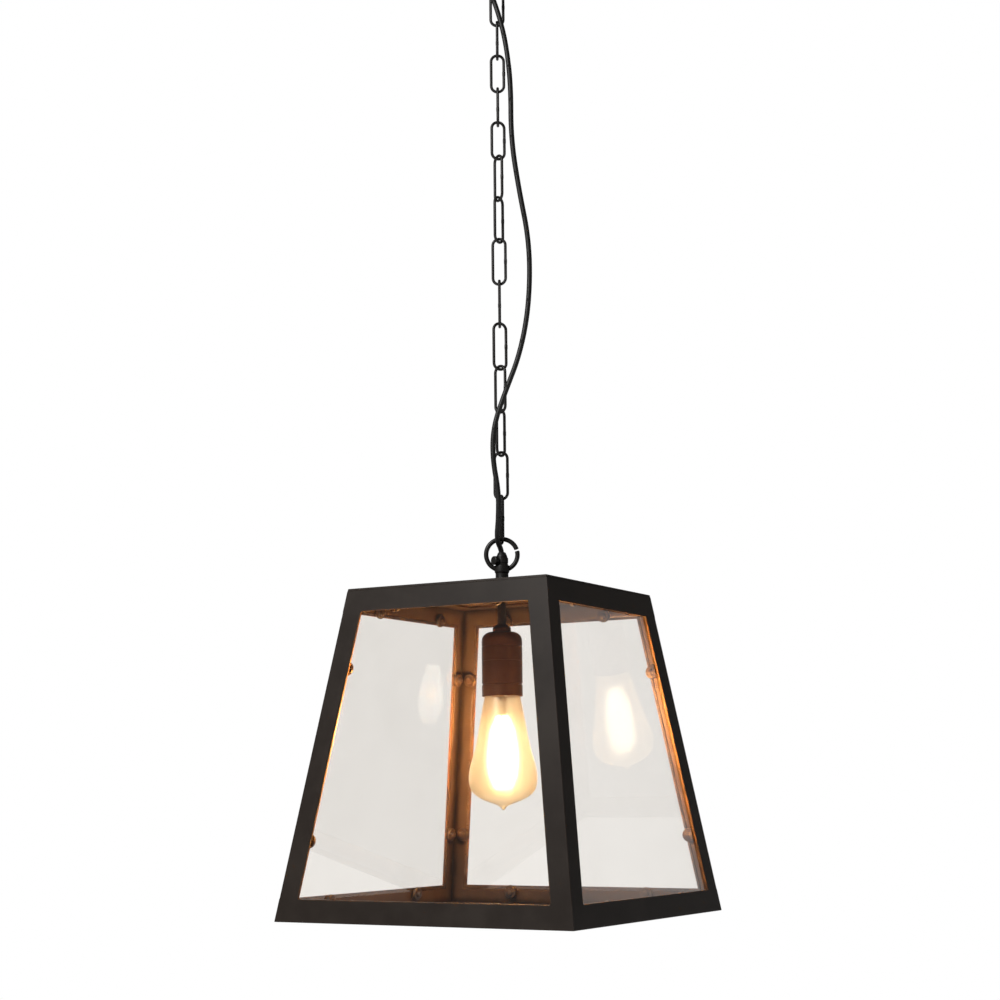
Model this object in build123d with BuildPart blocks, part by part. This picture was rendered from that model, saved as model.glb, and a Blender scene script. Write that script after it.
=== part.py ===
from build123d import *
from math import acos, atan, cos, degrees, radians, sin, tan
import os

os.makedirs("parts", exist_ok=True)

# All sizes are millimetres. The ceiling is Z = 0 and everything hangs below it, on the Z axis.

# Lantern frame: welded steel angle that tapers from foot to roof
bottom_width = 300.0
top_width = 208.0
lantern_height = 298.0
flange = 20.0
steel = 2.0
roof_thickness = 2.0

# Glazing and the round clips that clamp it
glass = 3.0
clip_inset = 15.0
clip_radius = 6.5
clip_thickness = 3.0
clip_sides = 10
stud_radius = 1.75
stud_sides = 6
cap_nut_radius = 3.6
cap_nut_height = 3.0
pane_gap = 0.25
low_clip = 0.24
high_clip = 0.76
rail_clip = 0.25

# Ceiling rose, its bracket and the loop under it
rose_radius = 50.0
rose_height = 44.0
rose_wall = 1.2
rose_sides = 48
bracket_width = 20.0
bracket_thickness = 2.0
bracket_ear = 16.0
ear_gap = 0.3
ceiling_screw_spacing = 60.0
ceiling_slot_width = 5.0
ceiling_slot_length = 14.0
rose_screw_radius = 2.0
rose_screw_head_radius = 4.0
rose_screw_head = 2.4
rose_screw_drop = 10.0
loop_wire = 4.0
loop_inner_radius = 7.0
loop_collar_radius = 7.0
loop_collar = 5.0
loop_shank_radius = 5.0
loop_shank = 14.0
loop_sink = 1.5
loop_nut_flats = 17.0
loop_nut_height = 6.0
terminal_length = 30.0
terminal_width = 18.0
terminal_height = 13.0
terminal_bore = 3.4
terminal_pitch = 9.0

# Chain: welded links of round wire, short ones above and long ones below
link_wire = 2.8
link_width = 15.2
short_link = 40.4
long_link = 48.1
short_links = 5
long_links = 9
wire_sides = 8
bow_steps = 5
ring_steps = 20
contact_gap = 0.45

# How the loop, each link and the ring are turned about Z, counted from the ring's own plane
hanging_turn = 30.0
loop_twist = 90.0
link_twists = [0, 90, 0, 90, 10, -56, 52, -10, 90, 19, -42, 54, -12, -78]

# Suspension ring on the roof, with the cord grip that stands inside it
ring_wire = 4.4
ring_radius = 17.0
ring_rise = 35.5
ring_foot_radius = 7.0
ring_foot = 25.2
ring_split = 16.0
ring_split_width = 1.6
grip_radius = 6.0
grip_height = 7.8
grip_screw_radius = 1.5
grip_knob_radius = 3.4
grip_knob = 4.0
grip_screw_drop = 3.7
grip_screw_turn = 40.0

# Stem: hollow threaded tube from the grip down to the lampholder
stem_radius = 4.0
stem_bore = 3.0
stem_drop = 31.0
roof_nut_flats = 13.0
roof_nut_height = 4.0

# Lampholder
holder_radius = 19.0
holder_wall = 2.0
holder_sides = 32
neck_radius = 8.5
neck_height = 7.0
shoulder = 8.0
shoulder_land = 7.0
cap_height = 34.0
skirt_height = 33.0
spigot_radius = 16.8
spigot_wall = 1.8
spigot_height = 11.0
insert_height = 8.0
insert_lip = 3.0
sleeve_wall = 0.5
sleeve_length = 27.0
contact_strip = 1.2
contact_width = 7.0

# Bulb: teardrop envelope on a screw cap
bulb_radius = 32.0
bulb_length = 142.0
bulb_wall = 0.9
envelope_sides = 24
belly_height = 31.0
neck_bulb_radius = 15.5
pip_radius = 3.0
pip_height = 4.5
screw_cap_radius = 13.2
screw_cap_length = 25.0
screw_cap_wall = 0.4
insulator_height = 3.0
contact_radius = 5.0
contact_height = 1.2
belly_pull = 0.134
shoulder_pull = 0.427
shoulder_share = 0.3
belly_steps = 4
flank_steps = 3
bulb_stem_radius = 4.5
bulb_stem_length = 28.0
cage_radius = 11.0
cage_top = 80.0
cage_bottom = 22.0
cage_legs = 12
arm_width = 0.7
support_radius = 0.8
filament_radius = 0.35

# Cord
cord_diameter = 5.0
cord_sides = 8
bush_flange_radius = 7.0
bush_flange = 2.5
bush_body_radius = 4.6
bush_across = -10.0
bush_out = 13.0
cord_drop = 12.0
cord_entry = 6.2
bend_share = 0.45

# Small turned pieces are drawn with flat sides
turned_sides = 20

# Clearances shared by pieces that pass through or over one another
screw_clearance = 0.1
slip_clearance = 0.2
socket_clearance = 0.5

# Heights worked out down the chain
link_pitch_lost = 2 * link_wire + contact_gap
loop_radius = loop_inner_radius + loop_wire / 2
loop_z = -rose_height - loop_collar + loop_sink - loop_inner_radius - loop_wire
loop_seat = loop_z - loop_inner_radius
link_lengths = [short_link] * short_links + [long_link] * long_links
link_tops = []
next_top = loop_seat + contact_gap + link_wire
for length in link_lengths:
    link_tops.append(next_top)
    next_top -= length - link_pitch_lost
link_bends = [top - length + link_wire / 2 for top, length in zip(link_tops, link_lengths)]
ring_top = link_bends[-1] + link_wire / 2 + contact_gap + ring_wire
ring_z = ring_top - ring_radius
roof_z = ring_z - ring_rise
frame_top = roof_z - roof_thickness
foot_z = roof_z - lantern_height
foot_top = roof_z + ring_foot
grip_top = foot_top + grip_height
holder_top = roof_z - stem_drop
cap_foot = holder_top - cap_height
skirt_foot = cap_foot - skirt_height

# Slope of the walls, and how their corner edges lean within the wall
lean = atan((bottom_width - top_width) / 2 / lantern_height)
frame_rise = (lantern_height - roof_thickness) / cos(lean)
corner_lean = atan(sin(lean))
pane_inset = clip_inset + stud_radius + pane_gap
sides = {"front": 0, "right": 90, "back": 180, "left": 270}
corners = {"front_right": 0, "back_right": 90, "back_left": 180, "front_left": 270}


def save(piece, name):
    """Label a finished piece and write it as the node of that name."""
    piece.part.label = name
    export_step(piece.part, f"parts/{name}.step")


def wall_plane(turn):
    """One outer wall seen from outside: x runs along its foot and y up its slope."""
    foot = Vector(0, -bottom_width / 2, foot_z).rotate(Axis.Z, turn)
    along = Vector(1, 0, 0).rotate(Axis.Z, turn)
    outward = Vector(0, -cos(lean), sin(lean)).rotate(Axis.Z, turn)
    return Plane(foot, x_dir=along, z_dir=outward)


def edge_at(rise, inset=0.0):
    """Distance from the wall's middle to a line that lies inset inside its corner edge."""
    return bottom_width / 2 - rise * tan(corner_lean) - inset / cos(corner_lean)


def wall_strip(low, high, inset=0.0):
    """Symmetrical outline across a wall between two rises."""
    return [
        (-edge_at(low, inset), low),
        (edge_at(low, inset), low),
        (edge_at(high, inset), high),
        (-edge_at(high, inset), high),
    ]


def mitre_plane(turn, side):
    """Upright plane through the Z axis and one corner of the wall."""
    return Plane((0, 0, 0), z_dir=Vector(side, 1, 0).rotate(Axis.Z, turn))


def hanging_plane(twist, height):
    """Upright plane through the Z axis at a twist from the ring's plane, with y upwards."""
    across = Vector(1, 0, 0).rotate(Axis.Z, hanging_turn + twist)
    return Plane((0, 0, height), x_dir=across, z_dir=across.cross(Vector(0, 0, 1)))


def half_width(height):
    """Half the lantern's outer width at a height."""
    return bottom_width / 2 - (height - foot_z) * tan(lean)


# Corner posts: two flanges of angle, one in each wall, between the rails
for corner, turn in corners.items():
    with BuildPart() as post:
        with BuildSketch(wall_plane(turn)):
            with BuildLine():
                Polyline(
                    (edge_at(0), 0),
                    (edge_at(frame_rise), frame_rise),
                    (edge_at(frame_rise, flange), frame_rise),
                    (edge_at(0, flange), 0),
                    close=True,
                )
            make_face()
        extrude(amount=-steel)
        mirror(about=mitre_plane(turn, 1))
        split(bisect_by=Plane.XY.offset(foot_z + flange), keep=Keep.TOP)
        split(bisect_by=Plane.XY.offset(frame_top - flange), keep=Keep.BOTTOM)
    save(post, f"corner_post_{corner}")


def rail(turn, low, high, ledge_z):
    """Length of angle along one wall, mitred at both ends, with its level leg at ledge_z."""
    spare = 2 * steel
    ledge_half = half_width(ledge_z + steel / 2)
    with BuildPart() as member:
        with BuildSketch(wall_plane(turn)):
            with BuildLine():
                rises = [(height - foot_z) / cos(lean) for height in (low, high)]
                Polyline(*wall_strip(rises[0] - spare, rises[1] + spare), close=True)
            make_face()
        extrude(amount=-steel)
        with BuildSketch(Plane.XY.offset(ledge_z).rotated((0, 0, turn))):
            with BuildLine():
                outer = ledge_half - steel / 2
                inner = ledge_half - flange
                Polyline((-outer, -outer), (outer, -outer), (inner, -inner), (-inner, -inner), close=True)
            make_face()
        extrude(amount=steel)
        split(bisect_by=Plane.XY.offset(low), keep=Keep.TOP)
        split(bisect_by=Plane.XY.offset(high), keep=Keep.BOTTOM)
        split(bisect_by=mitre_plane(turn, 1), keep=Keep.BOTTOM)
        split(bisect_by=mitre_plane(turn, -1), keep=Keep.BOTTOM)
    return member


for side, turn in sides.items():
    save(rail(turn, foot_z, foot_z + flange, foot_z), f"bottom_rail_{side}")
    save(rail(turn, frame_top - flange, frame_top, frame_top - steel), f"top_rail_{side}")

# Roof plate: covers the frame, its edge sloped like the walls
with BuildPart() as roof:
    with BuildSketch(Plane.XY.offset(frame_top)):
        Rectangle(2 * half_width(frame_top), 2 * half_width(frame_top))
        RegularPolygon(stem_radius + screw_clearance, turned_sides, mode=Mode.SUBTRACT)
    extrude(amount=roof_thickness)
    for turn in sides.values():
        split(bisect_by=wall_plane(turn), keep=Keep.BOTTOM)
save(roof, "roof_plate")

# Glass panes: lie against the inner faces of the flanges, inside the ring of studs
for side, turn in sides.items():
    with BuildPart() as pane:
        with BuildSketch(wall_plane(turn).offset(-steel)):
            with BuildLine():
                Polyline(*wall_strip(pane_inset, frame_rise - pane_inset, pane_inset), close=True)
            make_face()
        extrude(amount=-glass)
    save(pane, f"glass_pane_{side}")


def clip_places():
    """Where the clips stand on one wall: up both posts and along both rails."""
    places = []
    for hand in (-1, 1):
        for share in (low_clip, high_clip):
            rise = frame_rise * share
            places.append((hand * edge_at(rise, clip_inset), rise))
        for rise in (clip_inset, frame_rise - clip_inset):
            places.append((hand * 2 * rail_clip * edge_at(rise), rise))
    return places


def clip_pieces(depth, thickness, radius, side_count, bore=None):
    """One prism at every clip of all four walls, from a depth behind the wall's outer face."""
    with BuildPart() as group:
        for turn in sides.values():
            with BuildSketch(wall_plane(turn).offset(-depth)):
                with Locations(*clip_places()):
                    RegularPolygon(radius, side_count)
                    if bore:
                        RegularPolygon(bore, stud_sides, mode=Mode.SUBTRACT)
            extrude(amount=-thickness)
    return group


clip_depth = steel + glass
save(clip_pieces(steel, glass + clip_thickness, stud_radius, stud_sides), "clip_studs")
clip_bore = stud_radius + screw_clearance
save(clip_pieces(clip_depth, clip_thickness, clip_radius, clip_sides, clip_bore), "clip_discs")
cap_depth = clip_depth + clip_thickness
save(clip_pieces(cap_depth, cap_nut_height, cap_nut_radius, stud_sides), "clip_cap_nuts")

# Ceiling rose: a spun drum, open at the ceiling
with BuildPart() as rose:
    with BuildSketch(Plane.XY):
        RegularPolygon(rose_radius, rose_sides, major_radius=False, rotation=180 / rose_sides)
    extrude(amount=-rose_height)
    offset(amount=-rose_wall, openings=rose.faces().sort_by(Axis.Z)[-1])
    with BuildSketch(Plane.XY.offset(-rose_height)):
        RegularPolygon(loop_shank_radius + slip_clearance, turned_sides)
    extrude(amount=2 * rose_wall, mode=Mode.SUBTRACT)
    with BuildSketch(Plane.YZ.offset(-rose_radius)):
        with Locations((0, -rose_screw_drop)):
            Circle(rose_screw_radius + screw_clearance)
    extrude(amount=2 * rose_radius, mode=Mode.SUBTRACT)
    bush_plane = hanging_plane(0, -rose_height)
    bush_place = Vector(bush_across, 0, bush_out)
    with BuildSketch(Plane(bush_plane.from_local_coords(bush_place))):
        RegularPolygon(bush_body_radius + slip_clearance, turned_sides)
    extrude(amount=2 * rose_wall, mode=Mode.SUBTRACT)
save(rose, "ceiling_rose")

# Bracket: strip on the ceiling with an ear turned down at each end for the cover screws
ear_room = rose_radius - rose_wall - ear_gap
ear_reach = (ear_room**2 - (bracket_width / 2) ** 2) ** 0.5
with BuildPart() as bracket:
    with BuildSketch(Plane.XY):
        Rectangle(2 * ear_reach, bracket_width)
        with GridLocations(ceiling_screw_spacing, 0, 2, 1):
            SlotOverall(ceiling_slot_length, ceiling_slot_width, mode=Mode.SUBTRACT)
    extrude(amount=-bracket_thickness)
    with BuildSketch(Plane.XY):
        with GridLocations(2 * ear_reach - bracket_thickness, 0, 2, 1):
            Rectangle(bracket_thickness, bracket_width)
    extrude(amount=-bracket_ear)
    with BuildSketch(Plane.YZ.offset(-ear_reach)):
        with Locations((0, -rose_screw_drop)):
            Circle(rose_screw_radius + screw_clearance)
    extrude(amount=2 * ear_reach, mode=Mode.SUBTRACT)
save(bracket, "mounting_bracket")

# Cover screws: through the rose's rim into the ears
with BuildPart() as rose_screws:
    shank_end = ear_reach - 2 * bracket_thickness
    with BuildSketch(Plane.YZ.offset(shank_end)):
        with Locations((0, -rose_screw_drop)):
            RegularPolygon(rose_screw_radius, stud_sides)
    extrude(amount=rose_radius - shank_end)
    with BuildSketch(Plane.YZ.offset(rose_radius)):
        with Locations((0, -rose_screw_drop)):
            RegularPolygon(rose_screw_head_radius, clip_sides)
    extrude(amount=rose_screw_head)
    mirror(about=Plane.YZ)
save(rose_screws, "rose_screws")


def ring_points(radius, start, end, steps, middle=0.0):
    """Corners of straight stretches round an arc about a middle height, in degrees."""
    turns = [start + (end - start) * step / steps for step in range(steps + 1)]
    return [(radius * cos(radians(turn)), middle + radius * sin(radians(turn))) for turn in turns]


def bent_wire(plane, points, wire, close=False):
    """Wire of even section along straight stretches in a plane, mitred where they meet."""
    with BuildLine(plane) as path:
        Polyline(*points, close=close)
    with BuildSketch(Plane(path.wire() @ 0, x_dir=plane.z_dir, z_dir=path.wire() % 0)) as section:
        RegularPolygon(wire / 2, wire_sides, major_radius=False, rotation=180 / wire_sides)
    sweep(section.sketch, path=path.wire(), transition=Transition.RIGHT)


# The flats of a bent ring lie on its true circle
flats_share = cos(radians(180 / ring_steps))

# Ceiling loop: ring with a collar under the rose and a threaded shank into it
with BuildPart() as ceiling_loop:
    loop_turns = ring_points(loop_radius / flats_share, 90, 450, ring_steps)
    bent_wire(hanging_plane(loop_twist, loop_z), loop_turns, loop_wire)
    with BuildSketch(Plane.XY.offset(-rose_height - loop_collar)):
        RegularPolygon(loop_collar_radius, turned_sides)
    extrude(amount=loop_collar)
    with BuildSketch(Plane.XY.offset(-rose_height)):
        RegularPolygon(loop_shank_radius, turned_sides)
    extrude(amount=loop_shank)
save(ceiling_loop, "ceiling_loop")

# Loop nut: holds the loop from inside the rose
with BuildPart() as loop_nut:
    with BuildSketch(Plane.XY.offset(-rose_height + rose_wall)):
        RegularPolygon(loop_nut_flats / 2, 6, major_radius=False)
        RegularPolygon(loop_shank_radius + slip_clearance, turned_sides, mode=Mode.SUBTRACT)
    extrude(amount=loop_nut_height)
save(loop_nut, "loop_nut")

# Terminal block: hangs under the bracket inside the rose
with BuildPart() as terminal_block:
    with BuildSketch(Plane.XY.offset(-bracket_thickness)):
        Rectangle(terminal_length, terminal_width)
    extrude(amount=-terminal_height)
    with BuildSketch(Plane.XZ.offset(-terminal_width / 2)):
        with Locations((0, -bracket_thickness - terminal_height / 2)):
            with GridLocations(terminal_pitch, 0, 3, 1):
                RegularPolygon(terminal_bore / 2, stud_sides)
    extrude(amount=terminal_width, mode=Mode.SUBTRACT)
save(terminal_block, "terminal_block")

# Cord bush: rubber grommet in the rose's floor
bush_exit = bush_plane.from_local_coords(bush_place) - Vector(0, 0, bush_flange)
with BuildPart() as cord_bush:
    with BuildSketch(Plane(bush_exit)):
        RegularPolygon(bush_flange_radius, turned_sides)
        RegularPolygon(cord_diameter / 2 - slip_clearance, cord_sides, mode=Mode.SUBTRACT)
    extrude(amount=bush_flange)
    with BuildSketch(Plane(bush_exit + Vector(0, 0, bush_flange))):
        RegularPolygon(bush_body_radius, turned_sides)
        RegularPolygon(cord_diameter / 2 - slip_clearance, cord_sides, mode=Mode.SUBTRACT)
    extrude(amount=bush_flange)
save(cord_bush, "cord_bush")

# Chain links: stadium of wire, each threaded through the one above
link_bow = (link_width - link_wire) / 2
for number, (top, length, twist) in enumerate(zip(link_tops, link_lengths, link_twists), 1):
    half_run = (length - link_wire) / 2 - link_bow * cos(radians(90 / bow_steps))
    upper_bow = ring_points(link_bow, 0, 180, bow_steps, half_run)
    lower_bow = ring_points(link_bow, 180, 360, bow_steps, -half_run)
    with BuildPart() as link:
        bent_wire(
            hanging_plane(twist, top - length / 2),
            [(link_bow, 0), *upper_bow, *lower_bow],
            link_wire,
            close=True,
        )
    save(link, f"chain_link_{number:02d}")

# Suspension ring: split wire ring on a turned foot that screws down on the roof
with BuildPart() as suspension_ring:
    ring_bend = ring_radius - ring_wire / 2
    ring_gap = degrees(ring_split_width / ring_bend)
    ring_start = ring_split + ring_gap / 2
    ring_turns = ring_points(ring_bend / flats_share, ring_start, ring_start + 360 - ring_gap, ring_steps)
    bent_wire(hanging_plane(0, ring_z), ring_turns, ring_wire)
    with BuildSketch(Plane.XY.offset(roof_z)):
        RegularPolygon(ring_foot_radius, turned_sides)
    extrude(amount=ring_foot)
    with BuildSketch(Plane.XY.offset(roof_z)):
        RegularPolygon(stem_radius + screw_clearance, turned_sides)
    extrude(amount=ring_foot, mode=Mode.SUBTRACT)
save(suspension_ring, "suspension_ring")

# Cord grip: barrel on the stem's end with a side screw
screw_z = grip_top - grip_screw_drop
screw_plane = hanging_plane(grip_screw_turn, screw_z)
with BuildPart() as cord_grip:
    with BuildSketch(Plane.XY.offset(foot_top)):
        RegularPolygon(grip_radius, turned_sides)
        RegularPolygon(cord_diameter / 2, turned_sides, mode=Mode.SUBTRACT)
    extrude(amount=grip_height)
    with BuildSketch(Plane(screw_plane.origin, x_dir=(0, 0, 1), z_dir=-screw_plane.x_dir)):
        RegularPolygon(grip_screw_radius + screw_clearance, clip_sides)
    extrude(amount=grip_radius, mode=Mode.SUBTRACT)
save(cord_grip, "cord_grip")

# Grip screw: knurled knob with a shank that presses on the cord
with BuildPart() as grip_screw:
    knob_start = grip_radius + slip_clearance
    lead_side = cord_diameter / 2 + screw_clearance
    with BuildSketch(Plane(screw_plane.origin - knob_start * screw_plane.x_dir, z_dir=-screw_plane.x_dir)):
        RegularPolygon(grip_knob_radius, clip_sides)
    extrude(amount=grip_knob)
    with BuildSketch(Plane(screw_plane.origin - lead_side * screw_plane.x_dir, z_dir=-screw_plane.x_dir)):
        RegularPolygon(grip_screw_radius, clip_sides)
    extrude(amount=knob_start - lead_side)
save(grip_screw, "grip_screw")

# Stem tube: from the ring's foot, through the roof, into the lampholder's neck
with BuildPart() as stem_tube:
    with BuildSketch(Plane.XY.offset(holder_top - neck_height)):
        RegularPolygon(stem_radius, turned_sides)
        RegularPolygon(stem_bore, turned_sides, mode=Mode.SUBTRACT)
    extrude(amount=foot_top - holder_top + neck_height)
save(stem_tube, "stem_tube")

# Inner lead: the cord's own continuation through grip and stem to the terminals
with BuildPart() as inner_lead:
    lead_foot = holder_top - neck_height - shoulder
    with BuildSketch(Plane.XY.offset(lead_foot)):
        RegularPolygon(cord_diameter / 2 - screw_clearance, turned_sides)
    extrude(amount=grip_top - lead_foot)
save(inner_lead, "inner_lead")

# Roof nut: clamps the roof against the ring's foot
with BuildPart() as roof_nut:
    with BuildSketch(Plane.XY.offset(frame_top)):
        RegularPolygon(roof_nut_flats / 2, 6, major_radius=False)
        RegularPolygon(stem_radius + screw_clearance, turned_sides, mode=Mode.SUBTRACT)
    extrude(amount=-roof_nut_height)
save(roof_nut, "roof_nut")

def faceted(rings, side_count):
    """Closed form of flat facets through rings of (radius, height)."""
    hoops = []
    for radius, height in rings:
        start = Vector(radius, 0, height)
        hoops.append([start.rotate(Axis.Z, 360 * side / side_count) for side in range(side_count)])
    outlines = [hoops[0], hoops[-1]]
    for lower, upper in zip(hoops, hoops[1:]):
        for side in range(side_count):
            outlines.append([lower[side - 1], lower[side], upper[side], upper[side - 1]])
    return Solid(Shell([Face(Wire.make_polygon(outline)) for outline in outlines]))


# Lampholder cap: neck, sloped shoulder and upper barrel
neck_foot = holder_top - neck_height
shoulder_foot = neck_foot - shoulder
with BuildPart() as lampholder_cap:
    cap_rings = [
        (holder_radius, cap_foot),
        (holder_radius, shoulder_foot),
        (neck_radius + shoulder_land, neck_foot),
        (neck_radius, neck_foot),
        (neck_radius, holder_top),
    ]
    cap_bore = holder_radius - holder_wall
    add(faceted(cap_rings, holder_sides))
    add(faceted([(cap_bore, cap_foot), (cap_bore, shoulder_foot)], holder_sides), mode=Mode.SUBTRACT)
    with BuildSketch(Plane.XY.offset(shoulder_foot)):
        RegularPolygon(stem_radius + screw_clearance, turned_sides)
    extrude(amount=shoulder + neck_height, mode=Mode.SUBTRACT)
save(lampholder_cap, "lampholder_cap")

# Lampholder skirt: lower barrel, and a spigot that screws up into the cap
spigot_top = cap_foot + spigot_height
spigot_inner = spigot_radius - spigot_wall
ledge = cap_foot - holder_wall
with BuildPart() as lampholder_skirt:
    skirt_rings = [
        (holder_radius, skirt_foot),
        (holder_radius, cap_foot),
        (spigot_radius, cap_foot),
        (spigot_radius, spigot_top),
    ]
    skirt_bore = [
        (holder_radius - holder_wall, skirt_foot),
        (holder_radius - holder_wall, ledge),
        (spigot_inner, ledge),
        (spigot_inner, spigot_top),
    ]
    add(faceted(skirt_rings, holder_sides))
    add(faceted(skirt_bore, holder_sides), mode=Mode.SUBTRACT)
save(lampholder_skirt, "lampholder_skirt")

# Lampholder insert: ceramic puck on the spigot's rim that carries both contacts
insert_foot = spigot_top + insert_lip - insert_height
with BuildPart() as lampholder_insert:
    with BuildSketch(Plane.XY.offset(spigot_top)):
        RegularPolygon(spigot_radius - slip_clearance, turned_sides)
    extrude(amount=insert_lip)
    with BuildSketch(Plane.XY.offset(insert_foot)):
        RegularPolygon(spigot_inner - slip_clearance, turned_sides)
    extrude(amount=insert_height - insert_lip)
save(lampholder_insert, "lampholder_insert")

# Threaded sleeve: brass shell that takes the bulb's cap
sleeve_outer = screw_cap_radius + socket_clearance + sleeve_wall
with BuildPart() as thread_sleeve:
    with BuildSketch(Plane.XY.offset(insert_foot)):
        RegularPolygon(sleeve_outer, turned_sides)
        RegularPolygon(sleeve_outer - sleeve_wall, turned_sides, mode=Mode.SUBTRACT)
    extrude(amount=-sleeve_length)
save(thread_sleeve, "thread_sleeve")

# Centre contact: brass tongue under the insert
with BuildPart() as centre_contact:
    with BuildSketch(Plane.XY.offset(insert_foot)):
        Rectangle(2 * contact_width, contact_width)
    extrude(amount=-contact_strip)
save(centre_contact, "centre_contact")

# Bulb: contact tip, insulator and screw cap from the top down, then the envelope
bulb_top = insert_foot - contact_strip - contact_gap
bulb_tip = bulb_top - bulb_length
cap_top = bulb_top - contact_height - insulator_height
cap_rim = cap_top - screw_cap_length
with BuildPart() as bulb_contact:
    with BuildSketch(Plane.XY.offset(bulb_top)):
        RegularPolygon(contact_radius, turned_sides)
    extrude(amount=-contact_height)
    with BuildSketch(Plane.XY.offset(bulb_top - contact_height)):
        RegularPolygon(screw_cap_radius - socket_clearance, turned_sides)
    extrude(amount=-insulator_height)
save(bulb_contact, "bulb_contact")

with BuildPart() as bulb_cap:
    with BuildSketch(Plane.XY.offset(cap_top)):
        RegularPolygon(screw_cap_radius, turned_sides)
        RegularPolygon(screw_cap_radius - screw_cap_wall, turned_sides, mode=Mode.SUBTRACT)
    extrude(amount=-screw_cap_length)
save(bulb_cap, "bulb_cap")


def envelope_rings(wall):
    """Rings of the envelope as (radius, height) up to its neck, drawn in by a wall."""
    low = bulb_tip + pip_height + wall
    belly = bulb_radius - wall
    belly_z = bulb_tip + belly_height
    neck = neck_bulb_radius - wall
    rise = cap_rim - belly_z
    waist = neck + shoulder_share * (belly - neck)
    base = Bezier((pip_radius, low), (belly, low), (belly, belly_z), mode=Mode.PRIVATE)
    flank = Bezier(
        (belly, belly_z),
        (belly, belly_z + belly_pull * rise),
        (waist, belly_z + shoulder_pull * rise),
        (neck, cap_rim),
        mode=Mode.PRIVATE,
    )
    corners = [base @ (step / belly_steps) for step in range(belly_steps)]
    corners += [flank @ (step / flank_steps) for step in range(flank_steps + 1)]
    return [(corner.X, corner.Y) for corner in corners]


# Bulb glass: pip at the tip, round belly and a flank that draws in to the neck
with BuildPart() as bulb_glass:
    add(faceted([(pip_radius / 2, bulb_tip), *envelope_rings(0)], envelope_sides))
    add(faceted(envelope_rings(bulb_wall), envelope_sides), mode=Mode.SUBTRACT)
save(bulb_glass, "bulb_glass")

# Bulb mount: glass stem hung in the neck
stem_top = cap_rim - socket_clearance
stem_foot = stem_top - bulb_stem_length
with BuildPart() as bulb_stem:
    with BuildSketch(Plane.XY.offset(stem_top)):
        RegularPolygon(neck_bulb_radius - 2 * bulb_wall, turned_sides)
    extrude(amount=-bulb_wall)
    with BuildSketch(Plane.XY.offset(stem_top - bulb_wall)):
        RegularPolygon(bulb_stem_radius, turned_sides)
    extrude(amount=stem_foot - stem_top + bulb_wall)
save(bulb_stem, "bulb_stem")

# Filament supports: rod below the stem with a star of arms at the cage's top and foot
cage_high = bulb_tip + cage_top
cage_low = bulb_tip + cage_bottom
with BuildPart() as filament_supports:
    with BuildSketch(Plane.XY.offset(stem_foot)):
        RegularPolygon(support_radius, stud_sides)
    extrude(amount=cage_low - arm_width - stem_foot)
    for arm_z in (cage_high, cage_low - arm_width):
        with BuildSketch(Plane.XY.offset(arm_z)):
            with PolarLocations(cage_radius / 2, cage_legs):
                Rectangle(cage_radius, arm_width)
        extrude(amount=arm_width)
save(filament_supports, "filament_supports")

# Filament: upright legs between the two stars
with BuildPart() as filament:
    with BuildSketch(Plane.XY.offset(cage_low)):
        with PolarLocations(cage_radius - arm_width, cage_legs):
            RegularPolygon(filament_radius, stud_sides)
    extrude(amount=cage_high - cage_low)
save(filament, "filament")

# Cord: hangs beside the chain from the bush to the grip, slack and in front of the links.
# Its points run across the ring's plane, up, and out from it.
cord_route = [
    (bush_across, -rose_height - bush_flange, bush_out),
    (bush_across, -rose_height - bush_flange - cord_drop, bush_out),
    (-6.2, -72.0, 13.4),
    (1.6, -95.0, 14.4),
    (8.6, -126.0, 15.0),
    (12.9, -168.0, 14.0),
    (12.5, -222.0, 13.0),
    (19.4, -272.0, 12.0),
    (29.5, -327.0, 11.0),
    (28.6, -386.0, 11.5),
    (19.4, -436.0, 13.0),
    (3.5, -477.0, 15.0),
    (-6.9, -508.0, 16.0),
    (-8.0, -538.0, 16.0),
    (-2.6, -570.0, 15.0),
    (-2.8, -594.0, 13.5),
    (-4.9, -614.5, 7.6),
    (0.0, grip_top + cord_entry, 0.0),
    (0.0, grip_top, 0.0),
]
cord_plane = hanging_plane(0, 0)
cord_points = [cord_plane.from_local_coords(point) for point in cord_route]
runs = [after - before for before, after in zip(cord_points, cord_points[1:])]
bend_radii = []
for before, after in zip(runs, runs[1:]):
    turn = acos(before.normalized().dot(after.normalized()))
    bend_radii.append(bend_share * min(before.length, after.length) / tan(turn / 2))
print("cord bend radii:", [round(radius, 1) for radius in bend_radii])
with BuildPart() as cord:
    with BuildLine() as route:
        FilletPolyline(*cord_points, radius=bend_radii)
    with BuildSketch(Plane(cord_points[0], z_dir=runs[0])):
        RegularPolygon(cord_diameter / 2, cord_sides, major_radius=False)
    sweep(path=route.wire())
print("cord length:", round(route.wire().length, 1), "volume:", round(cord.part.volume, 1))
save(cord, "cord")
print("nodes written:", len(os.listdir("parts")))
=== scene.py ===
from math import atan2, cos, pi, radians, sin, tan

import bmesh
import bpy
from mathutils import Euler, Matrix, Vector


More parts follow.
